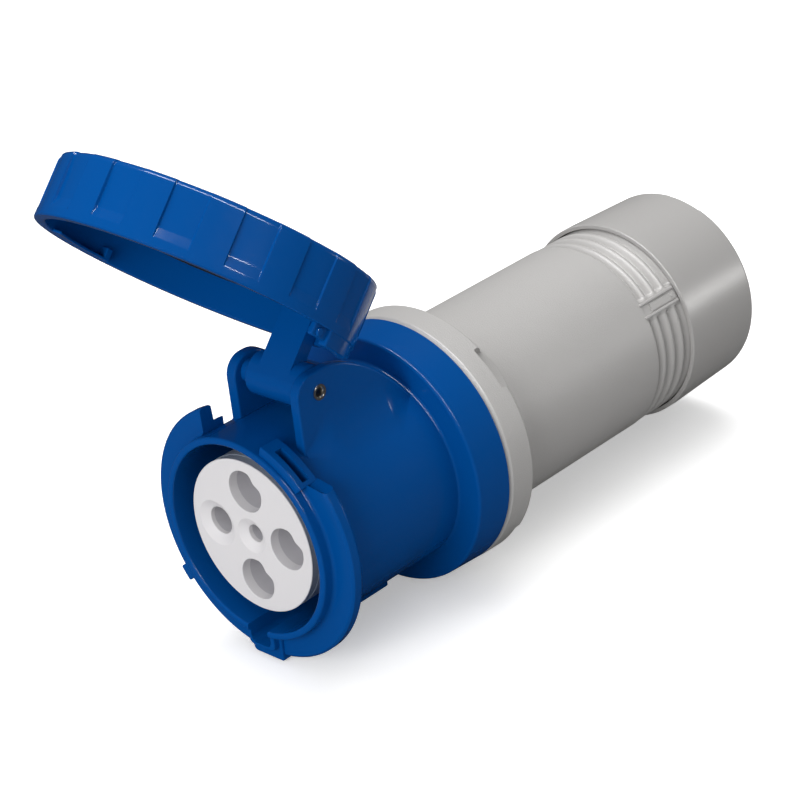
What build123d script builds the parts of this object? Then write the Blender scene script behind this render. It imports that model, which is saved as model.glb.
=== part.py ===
from math import cos, hypot, radians, sin

import os

from build123d import *

# Pin and sleeve connector, 3P+E, 63 A size. Lengths in mm, angles in degrees.
# +Y runs from the socket mouth to the cable end, +Z is the hinge side (12 o'clock).
# The origin is on the connector axis in the plane of the shroud rim.
# Angles around the axis are counted from +X towards +Z.

# Contact layout
contact_circle = 18.5
phase_angles = (0.0, 90.0, -90.0)
earth_angle = 180.0
phase_pin = 8.0
earth_pin = 10.0
pilot_pin = 6.0
pin_clearance = 0.05
sleeve_wall = 2.4
sleeve_slot = 1.2
sleeve_slot_length = 18.0
seat_clearance = 0.05
terminal_length = 16.0
terminal_wall = 1.2
terminal_screw_radius = 1.9
spring_width = 2.0
spring_depth = 0.7

# Socket insert
phase_mouth = 8.3
phase_recess = 14.0
earth_mouth = 9.2
pilot_mouth = 7.0
funnel_depth = 2.0
entry_clearance = 0.6
face_edge = 4.2
insert_radius = contact_circle + phase_mouth + face_edge
face_front = 4.0
face_thickness = 4.0
shutter_thickness = 4.0
sleeve_front = face_front + phase_recess + shutter_thickness
carrier_flange_height = 6.0
carrier_flange_radius = insert_radius + carrier_flange_height
carrier_flange_thickness = 5.0
carrier_tail = 18.0
holder_radius = 10.0
pilot_holder_radius = contact_circle - holder_radius - 0.3
carrier_bore = contact_circle + holder_radius + seat_clearance

# Shroud and barrel
shroud_gap = 7.2
shroud_bore = insert_radius + shroud_gap
shroud_wall = 2.8
barrel_radius = shroud_bore + shroud_wall
partition_front = 58.0
partition_thickness = 4.0
partition_back = partition_front + partition_thickness
ledge_height = 0.6
ledge_length = 1.2
carrier_back = partition_back + carrier_tail

# Lid arm, drawn with the lid closed
arm_half_width = 9.0
arm_thickness = 4.8

# Front flange with its notch for the lid arm
flange_height = 9.7
flange_radius = barrel_radius + flange_height
flange_front = 5.0
flange_thickness = 5.5
flange_back = flange_front + flange_thickness
flange_round = 2.0
rim_flare = 0.9
rim_depth = 2.6
band_height = 3.4
band_depth = 1.0
flange_notch_left = -arm_half_width - 4.0
flange_notch_right = arm_half_width + 4.5
flange_notch_floor = barrel_radius + 0.4

# Keyway at 6 o'clock
key_width = 10.0
key_depth = 6.0
key_wall = 3.0
key_length = partition_front - 8.0
key_lug_front = 3.6
key_lug_height = flange_radius + 1.3

# Bayonet lugs, lid ramps and the catch block
lug_angles = (-145.0, 35.0)
lug_span = 7.0
lug_height = 3.5
lug_radius = flange_radius + lug_height
lug_front = flange_front + 0.6
lug_back = flange_back - 1.5
ramp_gap = 3.0
ramp_stop = 3.0
lock_turn = 35.0
catch_start = 43.0
catch_end = 71.0
catch_step = 8.0
catch_front = 1.6
catch_slot = 2.8

# Collar that takes the rear body
collar_height = 11.0
collar_radius = barrel_radius + collar_height
collar_front = 73.0
collar_length = 17.0
collar_back = collar_front + collar_length
collar_wall = 2.4
collar_lip = 0.8
collar_groove_inner = barrel_radius + 1.6
collar_groove_outer = collar_radius - collar_wall
collar_groove_floor = collar_front + 6.0
collar_boss_radius = collar_height / 2 - 0.3
barrel_round = 3.5
collar_round = 3.0

# Lid, drawn closed and then swung open about the hinge
lid_open = 132.3
ring_running = 1.1
ring_bore = lug_radius + ring_running
ring_wall = 4.3
ring_outer = ring_bore + ring_wall
ring_recess = 1.3
ring_mouth = flange_back
ring_top = -13.5
ring_lip = 2.0
ring_lip_width = 4.4
ring_round = 3.0
grip_count = 15
grip_start = 2.0
grip_span = 12.0
grip_land = 3.4
grip_slope = 3.6
tab_angles = (10.0, 38.0)
tab_step_angles = (2.0, 12.0)
tab_height = 5.5
tab_boss_radius = 1.7
cap_running = 0.4
cap_radius = ring_bore - cap_running
ring_lip_bore = cap_radius - ring_lip_width
cap_thickness = 3.6
cap_gap = 0.2
arm_outer = cap_radius - 2.0
gasket_inner = shroud_bore - 0.4
gasket_outer = barrel_radius + 1.0
gasket_fit = 0.1
cap_rim_radius = gasket_outer + 3.2
cap_rim_back = -1.2
inner_rim_wall = 2.0
inner_rim_back = -3.0
snap_wire = 1.1
snap_gap_angles = (80.0, 100.0)

# Hinge
hinge_y = 26.0
hinge_z = arm_outer + 2.6
ear_radius = 8.2
ear_gap = 0.3
ear_foot = 2.6
knuckle_left = -11.2
knuckle_right = 18.3
left_ear_thickness = 8.0
right_ear_thickness = 4.8
left_ear = (knuckle_left - ear_gap - left_ear_thickness, knuckle_left - ear_gap)
right_ear = (knuckle_right + ear_gap, knuckle_right + ear_gap + right_ear_thickness)
hinge_pin_radius = 2.4
hinge_pin_bore = 1.5
hinge_pin_slit = 0.5
hinge_running = 0.06
bridge_front = hinge_y + 12.6
bridge_thickness = 3.0
bridge_height = hinge_z + 5.1

# Rear body
body_radius = barrel_radius + 0.5
body_wall = 3.1
body_bore = body_radius - body_wall
body_flange_radius = collar_radius + 0.2
body_flange_back = collar_back + 14.0
body_shoulder_back = body_flange_back + 8.0
body_length = 158.0
body_back = collar_back + body_length
thread_length = 52.0
thread_start = body_back - thread_length
thread_crest = body_radius - 0.3
thread_depth = 2.4
thread_root = thread_crest - thread_depth
thread_pitch = 6.0
thread_ridges = 8
thread_wall = 3.4
body_rear_bore = thread_root - thread_wall
seal_seat_depth = 22.0
shelf_thickness = 4.0
shelf_back = body_back - seal_seat_depth
shelf_front = shelf_back - shelf_thickness
seal_ring_thickness = 2.0

# Screws
pocket_floor = body_radius + 0.2
pocket_roof = body_flange_radius - 2.4
pocket_width = 19.0
pocket_length = 20.0
body_screw_circle = (pocket_floor + pocket_roof) / 2
body_screw_angles = (45.0, 135.0, 225.0, 315.0)
body_screw_radius = 2.2
body_screw_head = (pocket_roof - pocket_floor) / 2 - 0.55
body_screw_head_height = 3.2
screw_seat = collar_back + 9.0
screw_tip = collar_groove_floor + 1.5
insert_screw_circle = insert_radius + carrier_flange_height / 2
insert_screw_angles = (45.0, 165.0, 285.0)
insert_screw_radius = 1.2
insert_screw_head = 2.3
screw_hole_clearance = 0.05

# Cable end
cable_radius = 13.5
shelf_bore = cable_radius + 9.5
thread_in_view = 21.0
nut_overhang = 13.0
nut_front = thread_start + thread_in_view
nut_back = body_back + nut_overhang
nut_thread_clearance = 0.4
nut_wall = 1.8
nut_taper = 1.2
nut_bore = thread_crest + nut_thread_clearance
nut_radius = nut_bore + nut_wall
nut_rear_radius = nut_radius - nut_taper
nut_rear_wall = 5.6
nut_rear_bore = nut_rear_radius - nut_rear_wall
nut_step = body_back + 1.5
nut_floor_thickness = 7.0
nut_floor = nut_back - nut_floor_thickness
nut_notch_angles = (70.0, 190.0, 310.0)
nut_notch_width = 12.0
nut_notch_depth = 1.8
cable_hole = cable_radius + 5.5
washer_thickness = 2.0
washer_radius = nut_rear_bore - 0.6
seal_radius = body_rear_bore - 0.5
seal_lead_in = 4.0
seal_lead_length = 5.0
seal_exit = 3.0
seal_exit_length = 4.0
seal_shoulder = 2.2
seal_shoulder_length = 2.0

# Thread strip with its rails and latch
rail_angles = (27.2, 35.0)
rail_height = body_radius + 0.6
rail_half_angle = 0.8
rail_back = nut_front - 0.4
latch_length = 16.0
latch_height = 1.8
latch_play = 0.1

# Length of cuts that pass right through
through = 4 * collar_radius


def turned(points, rounds=()):
    """Solid of revolution about the connector axis from (radius, station) points."""
    face = make_face(Polyline(*points, close=True))
    for radius_at, station_at, round_radius in rounds:
        corner = [v for v in face.vertices() if abs(v.X - radius_at) < 1e-4 and abs(v.Y - station_at) < 1e-4]
        face = fillet(corner, round_radius)
    return revolve(face, Axis.Y, 360)


def tube(outer, inner, front, back):
    return turned([(inner, front), (outer, front), (outer, back), (inner, back)])


def rod(radius, front, back):
    return Pos(0, (front + back) / 2, 0) * Rot(90, 0, 0) * Cylinder(radius, back - front)


def cone(front_radius, back_radius, front, back):
    return turned([(0, front), (front_radius, front), (back_radius, back), (0, back)])


def around(angle, radius=0.0):
    """Location on a circle about the axis, with local +X pointing outwards."""
    return Rot(0, -angle, 0) * Pos(radius, 0, 0)


def block(x_range, y_range, z_range):
    size = [high - low for low, high in (x_range, y_range, z_range)]
    middle = [(high + low) / 2 for low, high in (x_range, y_range, z_range)]
    return Pos(*middle) * Box(*size)


def sector(inner, outer, front, back, start, end):
    """Part of a ring between two angles."""
    face = make_face(Polyline((inner, front), (outer, front), (outer, back), (inner, back), close=True))
    return Rot(0, -start, 0) * revolve(face, Axis.Y, -(end - start))


def together(solids):
    return Compound(children=list(solids))


def pick(shape, test):
    return [edge for edge in shape.edges() if test(edge.center())]


# Front housing

def housing_shell():
    outline = [
        (shroud_bore, 0.0),
        (barrel_radius, 0.0),
        (barrel_radius + rim_flare, rim_depth),
        (barrel_radius + band_height, flange_front + band_depth),
        (flange_radius - band_height, flange_front + band_depth / 2),
        (flange_radius - collar_lip, flange_front),
        (flange_radius, flange_front + collar_lip),
        (flange_radius, flange_back - 2 * collar_lip),
        (flange_radius - collar_lip, flange_back),
        (barrel_radius, flange_back + band_depth),
        (barrel_radius, collar_front),
        (collar_radius - collar_lip, collar_front),
        (collar_radius, collar_back - collar_lip),
        (collar_radius - collar_lip, collar_back),
        (shroud_bore, collar_back),
    ]
    rounds = [
        (shroud_bore, 0.0, 0.8),
        (barrel_radius, 0.0, 1.0),
        (barrel_radius + band_height, flange_front + band_depth, 1.5),
        (barrel_radius, flange_back + band_depth, flange_round),
        (barrel_radius, collar_front, barrel_round),
        (collar_radius - collar_lip, collar_front, collar_round),
    ]
    shell = turned(outline, rounds)
    ledge_front = partition_front - ledge_length
    shell += tube(barrel_radius - 1.0, shroud_bore - ledge_height, ledge_front, partition_front)
    shell -= tube(collar_groove_outer, collar_groove_inner, collar_groove_floor, collar_back + 1)
    for angle in body_screw_angles:
        boss = rod(collar_boss_radius, collar_groove_floor - 1, collar_back)
        shell += around(angle, body_screw_circle) * boss
    for angle in body_screw_angles:
        hole = rod(body_screw_radius + screw_hole_clearance, collar_groove_floor - 2, collar_back + 1)
        shell -= around(angle, body_screw_circle) * hole
    return shell


def keyway_lug():
    half = key_width / 2 + key_wall
    floor = shroud_bore + key_depth
    root = -barrel_radius + 1.5
    rib = block((-half, half), (rim_depth - 0.6, partition_back), (-floor - key_wall + 0.6, root))
    nose = block((-half, half), (key_lug_front, flange_back + 0.5), (-key_lug_height, root))
    nose = fillet(pick(nose, lambda c: c.Z < -key_lug_height + 0.1), 1.0)
    return rib + nose


def keyway_groove():
    half = key_width / 2
    return block((-half, half), (-1, key_length), (-shroud_bore - key_depth, -shroud_bore + 4))


def catch_block():
    inner = barrel_radius - shroud_wall / 3
    step_front = catch_front + 1.8
    slot_front, slot_back = catch_front + catch_slot, catch_front + 2 * catch_slot
    body = sector(inner, flange_radius + 0.8, catch_front, flange_back, catch_start, catch_end)
    step_start = catch_start - catch_step
    step = sector(inner, flange_radius - 0.8, step_front, flange_back, step_start, catch_start + 0.5)
    slot_start, slot_end = catch_start + 2.0, catch_end - 3.0
    return body + step - sector(barrel_radius + 2.6, lug_radius, slot_front, slot_back, slot_start, slot_end)


def bayonet_lug(angle):
    start, end = angle - lug_span / 2, angle + lug_span / 2
    lug = sector(flange_radius - 2.0, lug_radius, lug_front, lug_back, start, end)
    back_rim = pick(lug, lambda c: hypot(c.X, c.Z) > lug_radius - 0.05 and c.Y > lug_back - 0.1)
    return chamfer(back_rim, 0.6)


def hinge_ear(side):
    low, high = side
    rib_end = collar_front + 1.0
    ear_root = barrel_radius - 6.5
    profile = make_face(
        Polyline(
            (hinge_y - ear_radius, hinge_z),
            (hinge_y - ear_radius - ear_foot, ear_root),
            (rib_end, ear_root),
            (rib_end, barrel_radius + 0.5),
            (hinge_y + ear_radius + 5.0, hinge_z + 1.5),
            (hinge_y + 3.0, hinge_z + ear_radius - 0.45),
            (hinge_y, hinge_z),
            close=True,
        )
    )
    profile += Pos(hinge_y, hinge_z) * Circle(ear_radius)
    plate = Plane.YZ.offset(low) * profile
    return extrude(plate, high - low)


def hinge_bridge():
    span = (left_ear[1] - 1.0, right_ear[0] + 1.0)
    bridge_back = bridge_front + bridge_thickness
    wall = block(span, (bridge_front, bridge_back), (barrel_radius - shroud_wall, bridge_height))
    return chamfer(pick(wall, lambda c: c.Z > bridge_height - 0.1 and c.Y > bridge_front + 1.6), 1.2)


def front_housing():
    notch_width = (flange_notch_left, flange_notch_right)
    notch = block(notch_width, (-1, flange_back + 4), (flange_notch_floor, through))
    shell = housing_shell() - notch
    shell += keyway_lug()
    shell += catch_block()
    for angle in lug_angles:
        shell += bayonet_lug(angle)
    ears = hinge_ear(left_ear) + hinge_ear(right_ear) + hinge_bridge()
    ears -= rod(barrel_radius - shroud_wall / 2, 0, collar_front + 3)
    shell += ears
    shell -= keyway_groove()
    pin_hole = Pos(0, hinge_y, hinge_z) * Rot(0, 90, 0) * Cylinder(hinge_pin_radius, through)
    return shell - pin_hole


# Contacts and insert

def contact_places():
    """Each contact as (angle, radius on the circle, pin diameter)."""
    places = [(angle, contact_circle, phase_pin) for angle in phase_angles]
    places.append((earth_angle, contact_circle, earth_pin))
    places.append((0.0, 0.0, pilot_pin))
    return places


def sleeve_outer(pin):
    return pin / 2 + pin_clearance + sleeve_wall


def face_insert():
    back = face_front + face_thickness
    disc = turned(
        [(0, face_front), (insert_radius, face_front), (insert_radius, back), (0, back)],
        [(insert_radius, face_front, 0.9)],
    )
    for angle in phase_angles:
        disc -= around(angle, contact_circle) * rod(phase_mouth, face_front - 1, back + 1)
    for place, mouth, pin in (
        (around(earth_angle, contact_circle), earth_mouth, earth_pin),
        (around(0), pilot_mouth, pilot_pin),
    ):
        hole = pin / 2 + entry_clearance
        disc -= place * cone(mouth, hole, face_front - 0.001, face_front + funnel_depth)
        disc -= place * rod(hole, face_front + funnel_depth - 0.01, back + 1)
    return disc


def insert_carrier():
    """Round sleeve behind the face, closed off from the shroud gap by the insert ring."""
    return tube(insert_radius, carrier_bore, face_front + face_thickness, partition_back)


def insert_ring():
    """Floor of the shroud gap, seated on the ledge of the housing."""
    ring = tube(shroud_bore - seat_clearance, insert_radius + seat_clearance, partition_front, partition_back)
    for angle in insert_screw_angles:
        hole = rod(insert_screw_radius + screw_hole_clearance, partition_front - 1, partition_back + 1)
        ring -= around(angle, insert_screw_circle) * hole
    return ring


def holder_outer(pin):
    return pilot_holder_radius if pin == pilot_pin else holder_radius


def carrier_plate():
    """Plate that carries the contact holders and is screwed to the insert ring."""
    back = partition_back + carrier_flange_thickness
    plate = rod(carrier_flange_radius, partition_back, back)
    for angle, radius, pin in contact_places():
        plate -= around(angle, radius) * rod(holder_outer(pin) + seat_clearance, partition_back - 1, back + 1)
    for angle in insert_screw_angles:
        hole = rod(insert_screw_radius + screw_hole_clearance, partition_back - 1, back + 1)
        plate -= around(angle, insert_screw_circle) * hole
    return plate


def contact_holder(pin):
    """Insulating tube round one contact sleeve, with a wide well in front of a phase contact."""
    front = face_front + face_thickness
    outer = holder_outer(pin)
    entry = pin / 2 + entry_clearance
    seat = sleeve_outer(pin) + seat_clearance
    well = phase_mouth if pin == phase_pin else entry
    well_end = face_front + phase_recess
    section = [
        (well, front),
        (outer, front),
        (outer, carrier_back),
        (seat, carrier_back),
        (seat, sleeve_front),
        (entry, sleeve_front),
    ]
    if well > entry:
        section += [(entry, well_end), (well, well_end)]
    return turned(section)


def phase_holders():
    return together(around(angle, contact_circle) * contact_holder(phase_pin) for angle in phase_angles)


def earth_holder():
    return around(earth_angle, contact_circle) * contact_holder(earth_pin)


def pilot_holder():
    return contact_holder(pilot_pin)


def contact_sleeve(pin):
    outer = sleeve_outer(pin)
    bore = pin / 2 + pin_clearance
    terminal_back = carrier_back + terminal_length
    body = turned(
        [
            (0, sleeve_front),
            (outer, sleeve_front),
            (outer, carrier_back),
            (outer + terminal_wall, carrier_back),
            (outer + terminal_wall, terminal_back),
            (0, terminal_back),
        ],
        [(outer + terminal_wall, terminal_back, 0.8)],
    )
    body -= rod(bore, sleeve_front - 1, partition_back)
    body -= rod(pin / 2 - 0.4, carrier_back + 2, terminal_back + 1)
    slot_end = sleeve_front + sleeve_slot_length
    body -= block((-sleeve_slot / 2, sleeve_slot / 2), (sleeve_front - 1, slot_end), (-2 * outer, 2 * outer))
    body -= spring_groove(pin)
    hole = terminal_screw_radius + 0.1
    body -= Pos(outer, carrier_back + terminal_length / 2, 0) * Rot(0, 90, 0) * Cylinder(hole, 2 * outer)
    return body


def spring_groove(pin):
    outer = sleeve_outer(pin)
    front = sleeve_front + 1.5 * spring_width
    return tube(outer + 1, outer - spring_depth, front, front + spring_width)


def contact_spring(pin):
    """Split ring that presses the slotted sleeve onto the pin."""
    outer = sleeve_outer(pin)
    front = sleeve_front + 1.5 * spring_width + 0.1
    ring = tube(outer - 0.05, outer - spring_depth, front, front + spring_width - 0.2)
    return ring - Pos(0, front + spring_width / 2, outer) * Box(1.6, 2 * spring_width, 4)


def phase_sleeves():
    return together(around(angle, contact_circle) * contact_sleeve(phase_pin) for angle in phase_angles)


def earth_sleeve():
    return around(earth_angle, contact_circle) * contact_sleeve(earth_pin)


def pilot_sleeve():
    return Rot(0, -45, 0) * contact_sleeve(pilot_pin)


def contact_springs():
    return together(around(angle, radius) * contact_spring(pin) for angle, radius, pin in contact_places())


def terminal_screw(pin):
    """Slotted grub screw in the side of a terminal, local +X outwards."""
    outer = sleeve_outer(pin) + terminal_wall
    length = outer - pin / 2 + 0.4
    screw = Rot(0, 90, 0) * Cylinder(terminal_screw_radius, length)
    screw -= Pos(length / 2, 0, 0) * Box(1.6, 0.7, 3 * terminal_screw_radius)
    return Pos(outer - length / 2, carrier_back + terminal_length / 2, 0) * screw


def terminal_screws():
    screws = [around(angle, contact_circle) * terminal_screw(phase_pin) for angle in phase_angles]
    screws.append(around(earth_angle, contact_circle) * terminal_screw(earth_pin))
    screws.append(Rot(0, -45, 0) * terminal_screw(pilot_pin))
    return together(screws)


def insert_screw():
    seat = partition_back + carrier_flange_thickness
    screw = rod(insert_screw_radius, partition_front + 0.4, seat) + rod(insert_screw_head, seat, seat + 1.8)
    return screw - Pos(0, seat + 1.8, 0) * Box(0.6, 1.4, 3 * insert_screw_head)


def insert_screws():
    return together(around(angle, insert_screw_circle) * insert_screw() for angle in insert_screw_angles)


# Hinge pin and lid

def hinge_pin():
    length = right_ear[1] - left_ear[0] - 0.2
    middle = (right_ear[1] + left_ear[0]) / 2 + 0.1
    pin = Cylinder(hinge_pin_radius, length) - Cylinder(hinge_pin_bore, length + 2)
    pin -= Pos(-hinge_pin_radius, 0, 0) * Box(2, hinge_pin_slit, length + 2)
    return Pos(middle, hinge_y, hinge_z) * Rot(0, 90, 0) * pin


def opened(shape):
    """Swing a piece drawn on the closed lid to the open rest position."""
    swing = Pos(0, hinge_y, hinge_z) * Rot(-lid_open, 0, 0) * Pos(0, -hinge_y, -hinge_z)
    return swing * shape


def cap_front():
    return ring_top + ring_lip + cap_gap


def lid_cap():
    front = cap_front()
    back = front + cap_thickness
    cap = turned(
        [(0, front), (cap_radius, front), (cap_radius, back), (0, back)],
        [(cap_radius, front, 0.6)],
    )
    cap += tube(cap_rim_radius, gasket_outer + gasket_fit, back - 0.5, cap_rim_back)
    inner_rim = gasket_inner - gasket_fit
    cap += tube(inner_rim, inner_rim - inner_rim_wall, back - 0.5, inner_rim_back)
    arm = block(
        (-arm_half_width, arm_half_width),
        (back - 1.0, hinge_y),
        (arm_outer - arm_thickness, arm_outer),
    )
    web_front = hinge_y - ear_radius - 0.3
    web = block((-arm_half_width, arm_half_width), (web_front, hinge_y), (arm_outer - 2, hinge_z))
    knuckle = Pos((knuckle_left + knuckle_right) / 2, hinge_y, hinge_z) * Rot(0, 90, 0)
    arm += knuckle * Cylinder(ear_radius - 0.4, knuckle_right - knuckle_left)
    web -= Pos(0, web_front, hinge_z) * Rot(0, 90, 0) * Cylinder(hinge_z - arm_outer - 0.2, through)
    cap += arm + web
    cap -= knuckle * Cylinder(hinge_pin_radius + hinge_running, through)
    return opened(cap)


def lid_gasket():
    back = cap_front() + cap_thickness
    return opened(
        turned(
            [(gasket_inner, back), (gasket_outer, back), (gasket_outer, -0.9), (gasket_outer - 0.8, -0.1),
             (gasket_inner + 0.8, -0.1), (gasket_inner, -0.9)]
        )
    )


def ring_tab():
    """Finger tab on the mouth edge with a small round boss."""
    inner = ring_bore + 0.4
    tab = sector(inner, ring_outer - 0.4, ring_mouth - 2, ring_mouth + tab_height, *tab_angles)
    tab = chamfer(pick(tab, lambda c: c.Y > ring_mouth + tab_height - 0.1), 0.8)
    step = sector(inner, ring_outer - 1.6, ring_mouth - 2, ring_mouth + tab_height - 1.3, *tab_step_angles)
    boss_place = around(5.5) * Pos(ring_outer - 3.0, ring_mouth + tab_boss_radius + 0.5, 0)
    return tab + step + boss_place * Rot(0, 90, 0) * Cylinder(tab_boss_radius, ring_wall)


def grip_recess(index):
    """Flat-bottomed recess in the grip with a sloped end near the mouth."""
    start = -grip_start - index * 360 / grip_count
    floor = ring_outer - ring_recess
    face = make_face(
        Polyline(
            (floor, ring_top - 1),
            (ring_outer + 2, ring_top - 1),
            (ring_outer + 2, ring_mouth - grip_land),
            (ring_outer, ring_mouth - grip_land),
            (floor, ring_mouth - grip_land - grip_slope),
            close=True,
        )
    )
    return Rot(0, -(start - grip_span), 0) * revolve(face, Axis.Y, -grip_span)


def ring_ramp(angle):
    """Ramp that turns in behind a flange lug, with a stop at its far end."""
    inner = lug_radius - 2.3
    outer = ring_bore + 0.6
    end = angle - lug_span / 2 - ramp_gap
    start = angle - lug_span / 2 - lock_turn - 0.5 - ramp_stop
    ramp = sector(inner, outer, lug_back + 0.3, ring_mouth - 0.1, start, end)
    return ramp + sector(inner, outer, lug_front, ring_mouth - 0.1, start, start + ramp_stop)


def lid_ring():
    shell = turned(
        [
            (ring_lip_bore, ring_top),
            (ring_outer, ring_top),
            (ring_outer, ring_mouth),
            (ring_bore, ring_mouth),
            (ring_bore, ring_top + ring_lip),
            (ring_lip_bore, ring_top + ring_lip),
        ],
        [(ring_outer, ring_top, ring_round), (ring_outer, ring_mouth, 0.7), (ring_bore, ring_mouth, 0.7)],
    )
    for index in range(grip_count):
        shell -= grip_recess(index)
    for angle in lug_angles:
        shell += ring_ramp(angle)
    shell += ring_tab()
    shell -= snap_groove()
    return opened(shell)


def snap_station():
    return cap_front() + cap_thickness + 0.1


def snap_groove():
    start = snap_station()
    return tube(ring_bore + snap_wire, ring_bore - 1, start, start + 2 * snap_wire)


def lid_snap_ring():
    """Split retaining ring that holds the cap in the bayonet ring."""
    start = snap_station()
    ring = tube(ring_bore + snap_wire - 0.1, arm_outer + 1.3, start, start + 2 * snap_wire - 0.1)
    return opened(ring - sector(arm_outer - 2, ring_outer, start - 1, start + 4 * snap_wire, *snap_gap_angles))


# Rear body

def body_screw_pocket():
    half = pocket_width / 2
    return block((pocket_floor, pocket_roof), (screw_seat, screw_seat + pocket_length), (-half, half))


def body_shell():
    outline = [
        (body_bore, collar_back),
        (collar_radius - collar_lip, collar_back),
        (body_flange_radius, collar_back + 2 * collar_lip),
        (body_flange_radius + 0.2, body_flange_back),
        (body_flange_radius - 4.5, body_flange_back + 4.5),
        (body_radius, body_shoulder_back),
        (body_radius, thread_start),
        (thread_root, thread_start + thread_depth),
        (thread_root, body_back),
        (body_rear_bore, body_back),
        (body_rear_bore, thread_start - 8),
        (body_bore, thread_start - 14),
    ]
    rounds = [
        (body_flange_radius + 0.2, body_flange_back, 2.5),
        (body_radius, body_shoulder_back, 4.0),
        (body_radius, thread_start, 1.0),
        (thread_root, thread_start + thread_depth, 0.8),
    ]
    shell = turned(outline, rounds)
    for index in range(thread_ridges):
        station = thread_start + 4.6 + index * thread_pitch
        shell += turned_ridge(station, thread_depth)
    shell += tube(body_rear_bore + 1, shelf_bore, shelf_front, shelf_back)
    shell = thread_pad(shell)
    for angle in body_screw_angles:
        shell -= around(angle) * body_screw_pocket()
        hole = rod(body_screw_radius + screw_hole_clearance, collar_back - 1, screw_seat + 1)
        shell -= around(angle, body_screw_circle) * hole
    return shell - body_seal()


def turned_ridge(station, ridge_radius):
    """One rounded thread ridge."""
    face = Pos(thread_root, station) * Circle(ridge_radius)
    face &= Pos(thread_root + ridge_radius, station) * Rectangle(2 * ridge_radius + 1, 4 * ridge_radius)
    return revolve(face, Axis.Y, 360)


def thread_pad(shell):
    """Smooth strip with two raised rails that interrupts the thread."""
    low, high = rail_angles
    strip = sector(thread_root - 1.5, thread_crest, thread_start - 1, body_back - 2, low, high)
    shell += strip
    for angle in rail_angles:
        low_side, high_side = angle - rail_half_angle, angle + rail_half_angle
        rail = sector(thread_root - 1.0, rail_height, thread_start - 1.4, rail_back, low_side, high_side)
        shell += rail
    middle = (low + high) / 2
    half = (latch_width() + latch_play) / 2
    front, back = latch_stations()
    depth = thread_crest - latch_height + 0.6
    return shell - around(middle) * block((depth, rail_height), (front, back), (-half, half))


def latch_width():
    rails = radians(rail_angles[1] - rail_angles[0] - 2 * rail_half_angle)
    return rails * thread_crest - 2 * rail_half_angle + 0.2


def latch_stations():
    front = thread_start + 4.0
    return front, front + latch_length


def thread_latch():
    """Small locking slide in the strip between the rails."""
    middle = (rail_angles[0] + rail_angles[1]) / 2
    half = latch_width() / 2
    front, back = latch_stations()
    floor = thread_crest - latch_height + 0.6
    bar = block((floor, floor + latch_height), (front + latch_play, back - latch_play), (-half, half))
    bar += Pos(floor + latch_height, back - 2.4, 0) * Rot(0, 90, 0) * Cylinder(0.6, 0.9)
    return around(middle) * bar


def body_seal():
    """Flat seal between the front housing and the rear body."""
    outer = collar_groove_inner - 0.3
    return tube(outer, outer - seal_ring_thickness - 0.5, collar_back, collar_back + seal_ring_thickness)


def body_screw():
    head_top = screw_seat + body_screw_head_height
    screw = rod(body_screw_radius, screw_tip, screw_seat)
    head = turned(
        [(0, screw_seat), (body_screw_head, screw_seat), (body_screw_head, head_top), (0, head_top)],
        [(body_screw_head, head_top, 0.9)],
    )
    screw += head
    for turn in (0, 90):
        screw -= Rot(0, turn, 0) * Pos(0, head_top, 0) * Box(0.9, 2.8, 2 * body_screw_radius)
    return screw


def body_screws():
    return together(around(angle, body_screw_circle) * body_screw() for angle in body_screw_angles)


# Cable end

def cable_seal():
    """Rubber bush with a lead-in at each end of its bore."""
    back = nut_floor - washer_thickness
    return turned(
        [
            (cable_radius, shelf_back + seal_lead_length),
            (cable_radius + seal_lead_in, shelf_back),
            (seal_radius, shelf_back),
            (seal_radius, body_back - seal_shoulder_length),
            (seal_radius - seal_shoulder, back),
            (cable_radius + seal_exit, back),
            (cable_radius, back - seal_exit_length),
        ]
    )


def thrust_washer():
    return tube(washer_radius, cable_radius + 4.5, nut_floor - washer_thickness, nut_floor)


def nut_notch(angle):
    return around(angle) * Pos(nut_rear_radius, nut_back, 0) * Box(4.0, 2 * nut_notch_depth, nut_notch_width)


def gland_nut():
    nut = turned(
        [
            (nut_bore, nut_front),
            (nut_radius, nut_front),
            (nut_radius, nut_front + 6),
            (nut_rear_radius, nut_back),
            (cable_hole, nut_back),
            (cable_hole, nut_floor),
            (nut_rear_bore, nut_floor),
            (nut_rear_bore, nut_step),
            (nut_bore, nut_step),
        ],
        [
            (nut_radius, nut_front, 0.5),
            (nut_rear_radius, nut_back, 2.0),
            (cable_hole, nut_back, 1.5),
        ],
    )
    for angle in nut_notch_angles:
        nut -= nut_notch(angle)
    return nut


nodes = {
    "front_housing": front_housing,
    "face_insert": face_insert,
    "insert_carrier": insert_carrier,
    "insert_ring": insert_ring,
    "carrier_plate": carrier_plate,
    "phase_holders": phase_holders,
    "earth_holder": earth_holder,
    "pilot_holder": pilot_holder,
    "phase_sleeves": phase_sleeves,
    "earth_sleeve": earth_sleeve,
    "pilot_sleeve": pilot_sleeve,
    "contact_springs": contact_springs,
    "terminal_screws": terminal_screws,
    "insert_screws": insert_screws,
    "hinge_pin": hinge_pin,
    "lid_cap": lid_cap,
    "lid_gasket": lid_gasket,
    "lid_ring": lid_ring,
    "lid_snap_ring": lid_snap_ring,
    "body_shell": body_shell,
    "body_seal": body_seal,
    "body_screws": body_screws,
    "thread_latch": thread_latch,
    "cable_seal": cable_seal,
    "thrust_washer": thrust_washer,
    "gland_nut": gland_nut,
}

os.makedirs("parts", exist_ok=True)
for name, build in nodes.items():
    export_step(build(), f"parts/{name}.step")
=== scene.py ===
import math

import bmesh
import bpy
from mathutils import Matrix, Vector


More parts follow.
